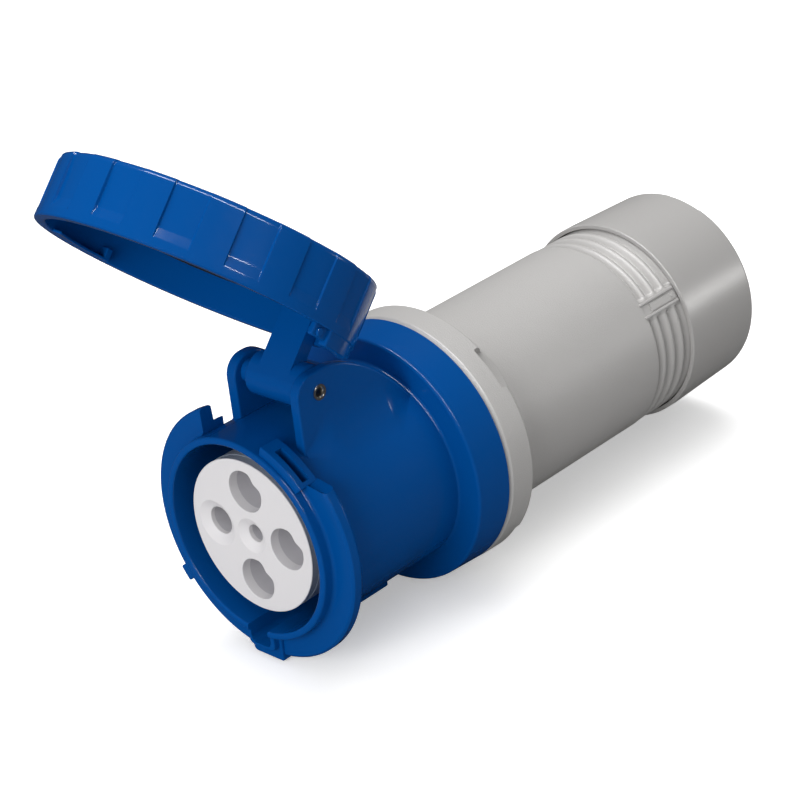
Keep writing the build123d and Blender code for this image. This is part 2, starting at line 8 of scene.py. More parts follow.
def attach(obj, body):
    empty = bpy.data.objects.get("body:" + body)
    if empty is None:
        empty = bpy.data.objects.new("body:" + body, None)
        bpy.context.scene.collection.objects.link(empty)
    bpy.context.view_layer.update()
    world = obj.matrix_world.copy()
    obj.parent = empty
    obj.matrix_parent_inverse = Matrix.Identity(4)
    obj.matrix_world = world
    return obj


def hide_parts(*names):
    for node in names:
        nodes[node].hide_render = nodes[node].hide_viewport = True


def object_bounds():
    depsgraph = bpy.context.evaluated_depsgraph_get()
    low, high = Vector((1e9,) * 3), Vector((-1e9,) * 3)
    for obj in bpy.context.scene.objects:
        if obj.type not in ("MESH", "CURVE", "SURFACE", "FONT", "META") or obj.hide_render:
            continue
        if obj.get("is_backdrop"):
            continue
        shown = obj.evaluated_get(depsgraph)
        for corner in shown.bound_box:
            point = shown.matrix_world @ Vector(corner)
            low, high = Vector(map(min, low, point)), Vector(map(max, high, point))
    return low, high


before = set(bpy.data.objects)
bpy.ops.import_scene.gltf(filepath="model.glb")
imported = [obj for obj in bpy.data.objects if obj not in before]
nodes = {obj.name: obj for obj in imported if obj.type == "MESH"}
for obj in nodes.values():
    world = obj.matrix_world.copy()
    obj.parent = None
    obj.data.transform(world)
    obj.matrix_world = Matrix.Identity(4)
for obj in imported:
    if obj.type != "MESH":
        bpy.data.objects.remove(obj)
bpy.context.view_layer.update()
mm = 0.001


def roundedLoop(points, steps=5):
    # closed loop of (a, b, radius) corners, each rounded by an arc
    loop = []
    count = len(points)
    for i, point in enumerate(points):
        radius = point[2] if len(point) > 2 else 0.0
        here = Vector(point[:2])
        if radius <= 0:
            loop.append(tuple(here))
            continue
        toBefore = (Vector(points[i - 1][:2]) - here).normalized()
        toAfter = (Vector(points[(i + 1) % count][:2]) - here).normalized()
        half = toBefore.angle(toAfter) / 2
        reach = radius / math.tan(half)
        centre = here + (toBefore + toAfter).normalized() * (radius / math.sin(half))
        first = here + toBefore * reach - centre
        last = here + toAfter * reach - centre
        turn = first.angle_signed(last)
        for k in range(steps + 1):
            angle = -turn * k / steps
            c, s = math.cos(angle), math.sin(angle)
            loop.append((centre.x + first.x * c - first.y * s, centre.y + first.x * s + first.y * c))
    return loop


def polar(radius, station, angle):
    # angle in degrees from +X towards +Z
    a = math.radians(angle)
    return Vector((radius * math.cos(a), station, radius * math.sin(a))) * mm


def sweepRings(bm, rings, closed):
    # quads between neighbouring rings of vertices, each ring a closed loop
    count = len(rings[0])
    pairs = list(zip(rings, rings[1:]))
    if closed:
        pairs.append((rings[-1], rings[0]))
    for one, two in pairs:
        for k in range(count):
            nextK = (k + 1) % count
            corners = [one[k], two[k], two[nextK], one[nextK]]
            unique = list(dict.fromkeys(corners))
            if len(unique) > 2:
                bm.faces.new(unique)
    if not closed:
        bm.faces.new(rings[0])
        bm.faces.new(rings[-1])


def fullTurn(bm, points, closed, segments):
    # turns a line of (radius, station) once round Y
    line = [bm.verts.new(polar(r, y, 0)) for r, y in points]
    first = 0 if closed else 1
    edges = [bm.edges.new((line[k - 1], line[k])) for k in range(first, len(line))]
    bmesh.ops.spin(
        bm, geom=line + edges, cent=(0, 0, 0), axis=(0, -1, 0), dvec=(0, 0, 0), angle=2 * math.pi,
        steps=segments, use_merge=True, use_duplicate=False,
    )


def lathe(bm, loop, segments=240):
    # ring with a closed section
    fullTurn(bm, loop, True, segments)


def turnSolid(bm, line, segments=96):
    # solid with flat ends from an open line
    fullTurn(bm, line, False, segments)
    bmesh.ops.holes_fill(bm, edges=[e for e in bm.edges if len(e.link_faces) == 1], sides=0)


def sector(bm, section, start, end, segments):
    # part turn of a flat section about Y
    face = bm.faces.new([bm.verts.new(polar(r, y, start)) for r, y in section])
    bmesh.ops.spin(
        bm, geom=[*face.verts, *face.edges, face], cent=(0, 0, 0), axis=(0, -1, 0), dvec=(0, 0, 0),
        angle=math.radians(end - start), steps=segments, use_merge=False, use_duplicate=False,
    )


def arcBlock(name, radii, stations, angles, segments, edgeWidth, edgeSteps=3):
    # bent block with rounded edges
    (inner, outer), (front, back) = radii, stations
    bm = bmesh.new()
    sector(bm, [(inner, front), (outer, front), (outer, back), (inner, back)], *angles, segments)
    rounded(bm, edgeWidth, edgeSteps)
    return toObject(bm, name)


def slab(bm, outline, low, high, place):
    # flat outline pushed from low to high; place(a, b, depth) gives the point in mm
    face = bm.faces.new([bm.verts.new(place(a, b, low) * mm) for a, b in outline])
    pushed = bmesh.ops.extrude_face_region(bm, geom=[face])
    moved = [part for part in pushed["geom"] if isinstance(part, bmesh.types.BMVert)]
    bmesh.ops.translate(bm, vec=(place(0, 0, high) - place(0, 0, low)) * mm, verts=moved)


# the next two are for sections that change along the way, which no operator turns

def sweepAround(bm, loopAt, angles):
    sweepRings(bm, [[bm.verts.new(polar(r, y, angle)) for r, y in loopAt(angle)] for angle in angles], True)


def slopedSector(bm, loop, startAt, endAt, segments):
    # its two end angles change with the radius
    rings = []
    for i in range(segments + 1):
        share = i / segments
        rings.append([bm.verts.new(polar(r, y, startAt(r) + (endAt(r) - startAt(r)) * share)) for r, y in loop])
    sweepRings(bm, rings, False)


def alongX(a, b, depth):
    return Vector((depth, a, b))


def alongY(a, b, depth):
    return Vector((a, depth, b))


def rounded(bm, width, segments=3, angle=30):
    # rounds every edge that is sharper than the angle
    bmesh.ops.recalc_face_normals(bm, faces=bm.faces)
    sharp = [e for e in bm.edges if len(e.link_faces) == 2 and e.calc_face_angle() > math.radians(angle)]
    bmesh.ops.bevel(
        bm, geom=sharp, offset=width * mm, offset_type="OFFSET", segments=segments,
        profile=0.5, affect="EDGES", clamp_overlap=True, material=-1,
    )


def toObject(bm, name):
    bmesh.ops.remove_doubles(bm, verts=bm.verts, dist=1e-7)
    bmesh.ops.recalc_face_normals(bm, faces=bm.faces)
    mesh = bpy.data.meshes.new(name)
    bm.to_mesh(mesh)
    bm.free()
    obj = bpy.data.objects.new(name, mesh)
    bpy.context.scene.collection.objects.link(obj)
    return obj


def addMoved(bm, other, matrix):
    # copies another mesh into this one, moved by the matrix
    bmesh.ops.recalc_face_normals(other, faces=other.faces)
    bmesh.ops.transform(other, matrix=matrix, verts=other.verts)
    mesh = bpy.data.meshes.new("moved")
    other.to_mesh(mesh)
    other.free()
    bm.from_mesh(mesh)
    bpy.data.meshes.remove(mesh)


def carve(obj, cutter, operation="DIFFERENCE"):
    # boolean, applied at once; the cutter goes away
    modifier = obj.modifiers.new("cut", "BOOLEAN")
    modifier.operation = operation
    modifier.solver = "EXACT"
    modifier.object = cutter
    evaluated = obj.evaluated_get(bpy.context.evaluated_depsgraph_get())
    mesh = bpy.data.meshes.new_from_object(evaluated)
    obj.modifiers.clear()
    old = obj.data
    obj.data = mesh
    bpy.data.meshes.remove(old)
    bpy.data.objects.remove(cutter)
    return obj


def merged(name, objects):
    # one object from several, with their meshes side by side
    bm = bmesh.new()
    for obj in objects:
        bm.from_mesh(obj.data)
        bpy.data.objects.remove(obj)
    return toObject(bm, name)


def finishPiece(obj, material, body, slotName, *cadNodes, sharpAngle=32):
    obj.data.materials.clear()
    obj.data.materials.append(material)
    for polygon in obj.data.polygons:
        polygon.use_smooth = True
    obj.data.set_sharp_from_angle(angle=math.radians(sharpAngle))
    weighted = obj.modifiers.new("even_normals", "WEIGHTED_NORMAL")
    weighted.keep_sharp = True
    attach(obj, body)
    if cadNodes:
        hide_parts(*cadNodes)
    print("piece", obj.name, len(obj.data.polygons))
    return obj


def newMaterial(name, color, roughness, specular=0.5, metallic=0.0):
    material = bpy.data.materials.new(name)
    material.use_nodes = True
    shader = material.node_tree.nodes["Principled BSDF"]
    shader.inputs["Base Color"].default_value = (*color, 1)
    shader.inputs["Roughness"].default_value = roughness
    shader.inputs["Specular IOR Level"].default_value = specular
    shader.inputs["Metallic"].default_value = metallic
    return material


def addGrain(material, scale, strength, distance, roughLow=None, roughHigh=None):
    # fine surface grain in object space, with uneven gloss if asked
    tree = material.node_tree
    shader = tree.nodes["Principled BSDF"]
    coords = tree.nodes.new("ShaderNodeTexCoord")
    noise = tree.nodes.new("ShaderNodeTexNoise")
    noise.inputs["Scale"].default_value = scale
    noise.inputs["Detail"].default_value = 3
    bump = tree.nodes.new("ShaderNodeBump")
    bump.inputs["Strength"].default_value = strength
    bump.inputs["Distance"].default_value = distance
    tree.links.new(coords.outputs["Object"], noise.inputs["Vector"])
    tree.links.new(noise.outputs["Fac"], bump.inputs["Height"])
    tree.links.new(bump.outputs["Normal"], shader.inputs["Normal"])
    if roughLow is not None:
        spread = tree.nodes.new("ShaderNodeMapRange")
        spread.inputs["To Min"].default_value = roughLow
        spread.inputs["To Max"].default_value = roughHigh
        tree.links.new(noise.outputs["Fac"], spread.inputs["Value"])
        tree.links.new(spread.outputs["Result"], shader.inputs["Roughness"])
    return material


bluePlastic = newMaterial("bluePlastic", (0.0003, 0.068, 0.285), 0.16, 0.3)
addGrain(bluePlastic, 260, 0.02, 0.0002, 0.13, 0.2)
greyGrained = newMaterial("greyGrained", (0.52, 0.51, 0.50), 0.42, 0.4, 0.12)
addGrain(greyGrained, 1900, 0.6, 0.0002, 0.36, 0.52)
greySmooth = newMaterial("greySmooth", (0.50, 0.49, 0.48), 0.32, 0.5, 0.15)
addGrain(greySmooth, 900, 0.08, 0.0002, 0.28, 0.38)
whitePlastic = addGrain(newMaterial("whitePlastic", (0.76, 0.745, 0.76), 0.35), 400, 0.03, 0.0002, 0.3, 0.42)
# the contact holders that line the wells get a grey darker than the white face: painted shade for the deep wells
holderPaintedShade = addGrain(newMaterial("holderPaintedShade", (0.55, 0.54, 0.57), 0.5), 400, 0.05, 0.0002)
slatePlastic = addGrain(newMaterial("slatePlastic", (0.30, 0.34, 0.40), 0.45), 400, 0.05, 0.0002)
blackRubber = addGrain(newMaterial("blackRubber", (0.018, 0.018, 0.019), 0.6), 700, 0.15, 0.0003)
brass = addGrain(newMaterial("brass", (0.72, 0.50, 0.22), 0.3, 0.5, 1.0), 900, 0.05, 0.0002, 0.25, 0.36)
steel = addGrain(newMaterial("steel", (0.62, 0.60, 0.57), 0.22, 0.5, 1.0), 1200, 0.05, 0.0002, 0.18, 0.3)
washerPlastic = addGrain(newMaterial("washerPlastic", (0.3, 0.3, 0.3), 0.55), 600, 0.05, 0.0002)

nodeFinish = {
    "insert_carrier": slatePlastic, "insert_ring": slatePlastic, "carrier_plate": slatePlastic,
    "phase_holders": holderPaintedShade, "earth_holder": holderPaintedShade, "pilot_holder": holderPaintedShade,
    "phase_sleeves": brass, "earth_sleeve": brass, "pilot_sleeve": brass,
    "contact_springs": steel, "terminal_screws": steel, "insert_screws": steel, "hinge_pin": steel,
    "lid_gasket": blackRubber, "lid_snap_ring": steel, "body_seal": blackRubber, "body_screws": steel,
    "thread_latch": greyGrained, "cable_seal": blackRubber, "thrust_washer": washerPlastic,
    "front_housing": bluePlastic, "lid_cap": bluePlastic, "lid_ring": bluePlastic,
    "body_shell": greyGrained, "gland_nut": greySmooth, "face_insert": whitePlastic,
}
for nodeName, node in nodes.items():
    node.data.materials.clear()
    node.data.materials.append(nodeFinish[nodeName])
print("materials ready")


housingSizes = {
    "bore": 38.2, "barrel": 41.0, "flange": 50.7, "flangeBack": 10.5,
    "collar": 52.0, "collarFront": 73.0, "collarBack": 90.0, "barrelRound": 1.1, "collarRound": 1.2,
    "notchLeft": -19.5, "keyWidth": 10.4, "keyDepth": 7.4, "keyLug": 51.8,
    "catchStart": 43.0, "catchEnd": 71.0, "catchOuter": 44.6, "catchSlope": 8.2, "ledge": 44.2, "ledgeBack": 15.6,
    "ledgeEnd": 127.0, "catchRoot": 40.2, "catchStations": (1.6, 10.6), "slotRoot": 38.9, "slotStations": (4.3, 7.8),
    "slotFromStart": 1.6, "slotFromEnd": 6.5, "bayonetRadii": (48.0, 54.2), "bayonetStations": (5.6, 9.0),
    "bayonetAngles": (-148.5, -141.5), "keyRoot": 40.0, "ribWall": 3.0, "ribRadius": 48.2, "ribStations": (6.0, 62.0),
    "noseWall": 2.8, "noseStations": (3.6, 11.0), "lipWall": 1.7, "lipRadius": 47.0, "lipStations": (1.0, 6.0),
    "grooveTop": 33.0, "grooveRound": 2.6, "grooveStations": (-2.0, 50.0),
}
h = housingSizes

bm = bmesh.new()
lathe(bm, roundedLoop([
    (h["bore"], 0.0, 0.8), (h["barrel"], 0.0, 1.0),
    (h["barrel"], h["collarFront"], h["barrelRound"]),
    (h["collar"] - 0.8, h["collarFront"], h["collarRound"]),
    (h["collar"], h["collarBack"] - 0.8, 0.5), (h["collar"] - 0.8, h["collarBack"], 0.3),
    (h["collar"] - 2.4, h["collarBack"]), (h["collar"] - 2.4, 79.0), (42.6, 79.0), (42.6, h["collarBack"]),
    (h["bore"], h["collarBack"]), (h["bore"], 58.0), (h["bore"] - 0.6, 58.0), (h["bore"] - 0.6, 56.8),
    (h["bore"], 56.8),
], steps=6), segments=288)
barrel = toObject(bm, "barrel")


def wallAngle(wall):
    # angle at which an upright wall at this distance from the middle cuts a circle
    return lambda radius: math.degrees(math.acos(wall / radius))


bm = bmesh.new()
flangeLoop = roundedLoop([
    (39.6, 0.9), (h["barrel"] - 0.02, 0.8), (h["barrel"] + 0.1, 5.1, 1.4), (43.0, 5.05), (h["catchOuter"], 5.0),
    (h["flange"] - 2.5, 4.9), (h["flange"] - 0.9, 4.9, 0.6), (h["flange"], 5.8, 0.6),
    (h["flange"], h["flangeBack"] - 1.4, 0.8), (h["flange"] - 0.9, h["flangeBack"], 0.6),
    (h["catchOuter"], h["flangeBack"] + 0.35), (h["barrel"], h["flangeBack"] + 1.0, 2.0),
    (h["barrel"], h["flangeBack"] + 6.0), (39.6, h["flangeBack"] + 6.0),
], steps=4)


def slopeEnd(radius):
    # the flange ends in a slope beside the catch
    rise = (radius - h["catchOuter"]) / (h["flange"] - h["catchOuter"])
    return h["catchStart"] - h["catchSlope"] * min(1.0, max(0.0, rise))


leftWall = wallAngle(h["notchLeft"])
slopedSector(bm, flangeLoop, leftWall, lambda radius: slopeEnd(radius) + 360.0, 280)
flange = toObject(bm, "flange")
bm = bmesh.new()
ledgeSection = [
    (h["catchRoot"], 8.0), (h["ledge"], 8.0), (h["ledge"], h["ledgeBack"]), (h["catchRoot"], h["ledgeBack"])]
slopedSector(bm, ledgeSection, leftWall, lambda radius: h["ledgeEnd"], 16)
rounded(bm, 0.5)
flangeLedge = toObject(bm, "flangeLedge")

half = h["keyWidth"] / 2
wide = half + h["ribWall"]
bm = bmesh.new()
slab(bm, [(-wide, -h["keyRoot"]), (wide, -h["keyRoot"]), (wide, -h["ribRadius"]), (-wide, -h["ribRadius"])],
     *h["ribStations"], alongY)
rounded(bm, 0.8)
keyRib = toObject(bm, "keyRib")
wide = half + h["noseWall"]
bm = bmesh.new()
slab(bm, roundedLoop([(-wide, -h["keyRoot"]), (wide, -h["keyRoot"]), (wide, -h["keyLug"], 0.8),
                      (-wide, -h["keyLug"], 2.2)]), *h["noseStations"], alongY)
rounded(bm, 0.7)
keyNose = toObject(bm, "keyNose")
wide = half + h["lipWall"]
bm = bmesh.new()
slab(bm, roundedLoop([(-wide, -h["keyRoot"]), (wide, -h["keyRoot"]), (wide, -h["lipRadius"], h["grooveRound"]),
                      (-wide, -h["lipRadius"], h["grooveRound"])]), *h["lipStations"], alongY)
rounded(bm, 0.6)
keyMouth = toObject(bm, "keyMouth")

catch = arcBlock("catch", (h["catchRoot"], h["catchOuter"]), h["catchStations"],
                 (h["catchStart"] - 1.0, h["catchEnd"]), 24, 0.5)
catchSlot = arcBlock("catchSlot", (h["slotRoot"], 50.0), h["slotStations"],
                     (h["catchStart"] + h["slotFromStart"], h["catchEnd"] - h["slotFromEnd"]), 20, 0.35, 2)
bayonet = arcBlock("bayonet", h["bayonetRadii"], h["bayonetStations"], h["bayonetAngles"], 8, 0.6)

housing = merged("housing", [barrel])
for part in (flange, flangeLedge, catch, keyRib, keyNose, keyMouth):
    carve(housing, part, "UNION")
carve(housing, catchSlot)
keyFloor = -h["bore"] - h["keyDepth"]
bm = bmesh.new()
slab(bm, roundedLoop([(-half, -h["grooveTop"]), (-half, keyFloor, h["grooveRound"]), (half, keyFloor, h["grooveRound"]),
                      (half, -h["grooveTop"])]), *h["grooveStations"], alongY)
carve(housing, toObject(bm, "keyGroove"))

# each top is a height and how fast it falls
hingeSizes = {
    "y": 26.0, "z": 55.5, "radius": 8.2, "left": (-18.0, -13.2), "right": (18.6, 22.9),
    "leftFront": 18.4, "rightFront": 15.1, "leftTop": (62.3, 3.0), "rightTop": (63.7, 0.92), "slopeStart": 28.5,
    "ribEnd": 71.5, "blend": 30.0, "ribHeight": 34.5, "bridgeTop": 57.5, "pinHole": 2.45, "foot": 31.0,
}
g = hingeSizes


def earTop(y, top):
    # the ear's upper edge bends down along the connector
    height, fall = top
    share = min(1.0, max(0.0, (y - g["slopeStart"]) / (g["ribEnd"] - g["slopeStart"])))
    return g["ribHeight"] + (height - g["ribHeight"]) * max(0.0, math.cos(share * math.pi / 2)) ** fall


def earOutline(front, top):
    stations = [g["slopeStart"] + (g["ribEnd"] - g["slopeStart"]) * i / 24 for i in range(1, 25)]
    crown = [(y, earTop(y, top)) for y in stations]
    corner = roundedLoop([(front, g["foot"]), (front, top[0], 8.0), (g["slopeStart"], top[0])], steps=14)
    return corner + crown + [(g["ribEnd"], g["foot"])]


def sideBlend(bm, face, sign, start, top):
    # concave skin from the ear's outer face down to the barrel, as wide as the ear is high
    barrelRadius = h["barrel"] - 0.02
    foot = barrelRadius ** 2 - face ** 2
    rings = []
    for i in range(97):
        y = start + 0.8 + (g["ribEnd"] - 1.0 - start) * i / 96
        grow = min(1.0, max(0.0, (y - start) / 16.0))
        reach = (earTop(y, top) - 2.0) ** 2 - foot
        widest = max(0.3, reach / (2 * (barrelRadius - face)))
        radius = min(g["blend"] * (0.12 + 0.88 * grow * grow * (3 - 2 * grow)), widest)
        centreX = face + radius
        centreZ = math.sqrt((barrelRadius + radius) ** 2 - centreX ** 2)
        last = math.pi + math.atan2(centreZ, centreX)
        ring = []
        for k in range(17):
            angle = math.pi + (last - math.pi) * k / 16
            ring.append((centreX + radius * math.cos(angle), centreZ + radius * math.sin(angle)))
        ring.append((ring[-1][0] - 2.0, ring[-1][1] - 4.0))
        ring.append((face - 2.0, ring[-1][1]))
        ring.append((face - 2.0, ring[0][1]))
        rings.append([bm.verts.new(Vector((sign * x, y, z)) * mm) for x, z in ring])
    sweepRings(bm, rings, False)


hingePoint = Vector((0, g["y"], g["z"])) * mm
ontoHinge = Matrix.Translation(hingePoint) @ Matrix.Rotation(-math.pi / 2, 4, "Z")
ears = []
for (low, high), sign, front, top in ((g["left"], -1, g["leftFront"], g["leftTop"]),
                                      (g["right"], 1, g["rightFront"], g["rightTop"])):
    bm = bmesh.new()
    slab(bm, earOutline(front, top), low, high, alongX)
    rounded(bm, 0.8, 4)
    ear = toObject(bm, "ear")
    bm = bmesh.new()
    turnSolid(bm, [(g["pinHole"], low - 2.0), (g["pinHole"], high + 2.0)], segments=64)
    pinHole = toObject(bm, "pinHole")
    pinHole.data.transform(ontoHinge)
    ears.append(carve(ear, pinHole))
    bm = bmesh.new()
    sideBlend(bm, (-low if sign < 0 else high) + 0.01, sign, front, top)
    ears.append(toObject(bm, "earBlend"))
bm = bmesh.new()
slab(bm, roundedLoop([(38.6, 38.0), (41.6, 38.0), (41.6, g["bridgeTop"], 1.3), (38.6, g["bridgeTop"], 0.6)]),
     g["left"][1] - 1, g["right"][0] + 1, alongX)
bridge = toObject(bm, "bridge")

housing = merged("housing", [housing, bridge, bayonet, *ears])
finishPiece(housing, bluePlastic, "connector", "blue_housing", "front_housing")


faceSizes = {"radius": 31.0, "front": 4.0, "back": 8.0, "circle": 18.5, "phase": 8.3, "earth": 9.2, "pilot": 7.0,
             "ribAngle": 42.0, "ribSpan": 34.0, "ribDepth": 1.7}
f = faceSizes


def mouthOutline(outset):
    # round mouth with a half-round rib on one side
    points = []
    for i in range(120):
        a = math.radians(3.0 * i)
        away = abs((3.0 * i - f["ribAngle"] + 180) % 360 - 180) / f["ribSpan"]
        dip = f["ribDepth"] * (0.5 + 0.5 * math.cos(math.pi * min(1.0, away)))
        radius = f["phase"] + outset - dip
        points.append((radius * math.cos(a), radius * math.sin(a)))
    return points


bm = bmesh.new()
turnSolid(bm, [(f["radius"] - 0.9, f["back"]), (f["radius"] - 0.9, f["front"] + 0.6),
               (f["radius"], f["front"] + 0.5), (f["radius"] - 0.03, f["front"] + 0.2),
               (f["radius"] - 0.2, f["front"] + 0.04),
               (f["radius"] - 0.5, f["front"])], segments=240)
face = toObject(bm, "socketFace")
bm = bmesh.new()
for angle in (0, 90, -90):
    for outset, station in ((1.0, 2.0), (0.35, 3.99), (0.1, 4.1), (0.0, 4.35), (0.0, 10.0)):
        outline = mouthOutline(outset)
        ring = [bm.verts.new(polar(f["circle"], 0, angle) + alongY(a, b, station) * mm) for a, b in outline]
        rings = [ring] if station < 3 else rings + [ring]
    sweepRings(bm, rings, False)
for angle, circle, mouth, bore in ((180, f["circle"], f["earth"], 5.6), (0, 0.0, f["pilot"], 3.6)):
    hole = bmesh.new()
    turnSolid(hole, [(mouth + 0.8, 2.0), (mouth + 0.1, 3.98), (mouth - 0.1, 4.12), (bore + 0.35, 6.0), (bore, 6.3),
                     (bore - 0.03, 10.0)])
    addMoved(bm, hole, Matrix.Translation(polar(circle, 0, angle)))
carve(face, toObject(bm, "holes"))
finishPiece(face, whitePlastic, "connector", "white_face", "face_insert")
bm = bmesh.new()
sleeveFront, sleeveBack = f["front"] + 0.55, f["back"] + 0.2
lathe(bm, [(f["radius"] - 0.2, sleeveFront), (f["radius"] - 0.2, sleeveBack),
           (f["radius"] - 0.8, sleeveBack), (f["radius"] - 0.8, sleeveFront)], segments=240)
finishPiece(toObject(bm, "faceSleeve"), slatePlastic, "connector", "slate_insert")


pinSizes = {"radius": 2.4, "bore": 1.5, "rim": 3.1, "mouth": 1.9, "left": -17.8, "right": 23.4}
bm = bmesh.new()
turnSolid(bm, [
    (pinSizes["radius"] - 0.4, pinSizes["left"]), (pinSizes["radius"], pinSizes["left"] + 0.4),
    (pinSizes["radius"], pinSizes["right"] - 0.5), (pinSizes["rim"], pinSizes["right"] - 0.45),
    (pinSizes["rim"], pinSizes["right"] - 0.15), (pinSizes["rim"] - 0.15, pinSizes["right"]),
    (pinSizes["mouth"] + 0.25, pinSizes["right"]), (pinSizes["mouth"], pinSizes["right"] - 0.25),
    (pinSizes["bore"], pinSizes["right"] - 1.2), (pinSizes["bore"], pinSizes["right"] - 6.0)], segments=64)
pin = toObject(bm, "hingePin")
pin.data.transform(ontoHinge)
finishPiece(pin, steel, "connector", "pin_steel", "hinge_pin")


lidSizes = {
    "open": 132.3, "outer": 59.6, "bore": 55.3, "lipBore": 50.5, "mouth": 10.5, "top": -13.5, "lip": 2.0,
    "recess": 1.3, "grips": 15, "gripStart": 2.0, "gripSpan": 12.0, "land": 3.4, "slope": 3.6,
    "capRadius": 54.9, "capFront": -11.3, "capBack": -7.7, "armSpan": (-2.4, 13.2), "armInner": 47.7, "armOuter": 53.4,
    "knuckleLeft": -8.0, "knuckleRight": 18.3, "knuckle": 7.8, "knuckleRise": 1.4, "spacer": 4.6, "spacerLeft": -12.9,
    "recessFar": 0.5, "recessTop": 0.55,
    "rampRadii": (51.9, 56.0), "rampStations": (9.3, 10.35), "rampAngles": (-187.0, -151.5),
    "stopStations": (5.6, 10.3), "stopAngles": (-187.0, -184.0),
    "tabRadii": (55.7, 59.2), "tabStations": (8.5, 16.0), "tabAngles": (10.0, 30.3),
    "tabEndStations": (8.5, 14.6), "tabEndAngles": (28.0, 38.0), "stepRadii": (55.7, 58.0),
    "stepStations": (8.5, 14.7), "stepAngles": (2.0, 12.0), "bossPlace": (54.4, 12.7), "bossAngle": 5.5,
    "capHole": 20.0, "gasketWall": (42.1, 45.2), "gasketWallFront": -1.2, "innerWall": (35.7, 37.7), "innerWallFront": -3.0,
}
l = lidSizes
turnOpen = Matrix.Rotation(math.radians(-l["open"]), 4, "X")
swing = Matrix.Translation(hingePoint) @ turnOpen @ Matrix.Translation(-hingePoint)


def recessShare(angle):
    step = 360 / l["grips"]
    along = ((angle + l["gripStart"] + l["gripSpan"] + 0.5) % step) / (l["gripSpan"] + 1.0)
    return 1.0 - (1.0 - l["recessFar"]) * min(1.0, along)


def gripStations():
    # angles round the ring, with closely set ones at the recess edges
    step = 360 / l["grips"]
    edgeSteps = ((-0.45, 0.0), (-0.28, 0.0), (-0.18, 0.08), (-0.06, 0.5), (0.06, 0.92), (0.18, 1.0), (0.36, 1.0))
    marks = []
    for index in range(l["grips"]):
        low = -l["gripStart"] - l["gripSpan"] - index * step
        high = low + l["gripSpan"]
        for edge, way in ((low, 1), (high, -1)):
            for shift, depth in edgeSteps:
                marks.append((edge + way * shift, depth))
        for k in range(1, 11):
            marks.append((low + 0.5 + (l["gripSpan"] - 1.0) * k / 11, 1.0))
        for k in range(1, 11):
            marks.append((high + 0.5 + (step - l["gripSpan"] - 1.0) * k / 11, 0.0))
    # each recess is deepest at its low edge
    return sorted((angle, depth * recessShare(angle)) for angle, depth in marks)


bm = bmesh.new()
rings = []
for angle, depth in gripStations():
    drop = l["recess"] * depth
    topRadius = l["outer"] - drop
    rimRadius = l["outer"] - drop * l["recessTop"]
    slopeTop = l["mouth"] - l["land"]
    slopeLow = slopeTop - l["slope"]
    outline = roundedLoop([
        (l["lipBore"], l["top"], 0.3), (rimRadius, l["top"], 2.2),
        (topRadius, slopeLow - 8.0), (topRadius, slopeLow - 1.0), (topRadius, slopeLow - 0.25),
        (topRadius + drop * 0.06, slopeLow + 0.25), (l["outer"] - drop * 0.06, slopeTop - 0.25),
        (l["outer"], slopeTop + 0.25), (l["outer"], slopeTop + 0.8),
        (l["outer"], l["mouth"], 0.7), (l["bore"], l["mouth"], 0.7),
        (l["bore"], l["top"] + l["lip"], 0.3), (l["lipBore"], l["top"] + l["lip"], 0.3),
    ], steps=5)
    rings.append([bm.verts.new(polar(r, y, angle)) for r, y in outline])
sweepRings(bm, rings, True)
ringBody = toObject(bm, "ringBody")

# the tab's end is lower, so that it passes the hinge ear when the ring turns
ringParts = [
    ringBody,
    arcBlock("ramp", l["rampRadii"], l["rampStations"], l["rampAngles"], 40, 0.3),
    arcBlock("rampStop", l["rampRadii"], l["stopStations"], l["stopAngles"], 4, 0.4),
    arcBlock("tab", l["tabRadii"], l["tabStations"], l["tabAngles"], 20, 0.8, 4),
    arcBlock("tabEnd", l["tabRadii"], l["tabEndStations"], l["tabEndAngles"], 12, 0.8, 4),
    arcBlock("tabStep", l["stepRadii"], l["stepStations"], l["stepAngles"], 12, 0.7, 4),
]
bm = bmesh.new()
turnSolid(bm, [(1.7, 0.0), (1.7, 3.8), (1.5, 4.2), (1.1, 4.4)], segments=40)
boss = toObject(bm, "boss")
outwards = Matrix.Rotation(math.radians(-l["bossAngle"]), 4, "Y") @ Matrix.Rotation(-math.pi / 2, 4, "Z")
boss.data.transform(Matrix.Translation(polar(*l["bossPlace"], l["bossAngle"])) @ outwards)
ringParts.append(boss)
lidRing = merged("lidRing", ringParts)
lidRing.data.transform(swing)
finishPiece(lidRing, bluePlastic, "ring", "blue_ring", "lid_ring", sharpAngle=50)

bm = bmesh.new()
gasketLow, gasketHigh = l["gasketWall"]
innerLow, innerHigh = l["innerWall"]
turnSolid(bm, [
    (l["capHole"], l["capFront"]), (l["capRadius"] - 0.6, l["capFront"]), (l["capRadius"], l["capFront"] + 0.6),
    (l["capRadius"], l["capBack"]), (gasketHigh + 0.2, l["capBack"]), (gasketHigh, l["capBack"] + 0.4),
    (gasketHigh, l["gasketWallFront"] - 0.3), (gasketHigh - 0.3, l["gasketWallFront"]),
    (gasketLow + 0.3, l["gasketWallFront"]), (gasketLow, l["gasketWallFront"] - 0.3), (gasketLow, l["capBack"]),
    (innerHigh, l["capBack"]), (innerHigh, l["innerWallFront"] - 0.4), (innerHigh - 0.4, l["innerWallFront"]),
    (innerLow + 0.4, l["innerWallFront"]), (innerLow, l["innerWallFront"] - 0.4), (innerLow, l["capBack"])],
    segments=240)
capDisc = toObject(bm, "capDisc")
armLine = roundedLoop([
    (-8.5, l["armInner"]), (-8.5, l["armOuter"]), (18.0, l["armOuter"], 3.0), (18.25, g["z"]), (g["y"], g["z"]),
    (g["y"] + 3.0, l["armInner"] + 1.25), (g["y"], l["armInner"])], steps=6)
bm = bmesh.new()
slab(bm, armLine, *l["armSpan"], alongX)
rounded(bm, 0.7, 3)
arm = toObject(bm, "arm")
bm = bmesh.new()
knuckleLine = []
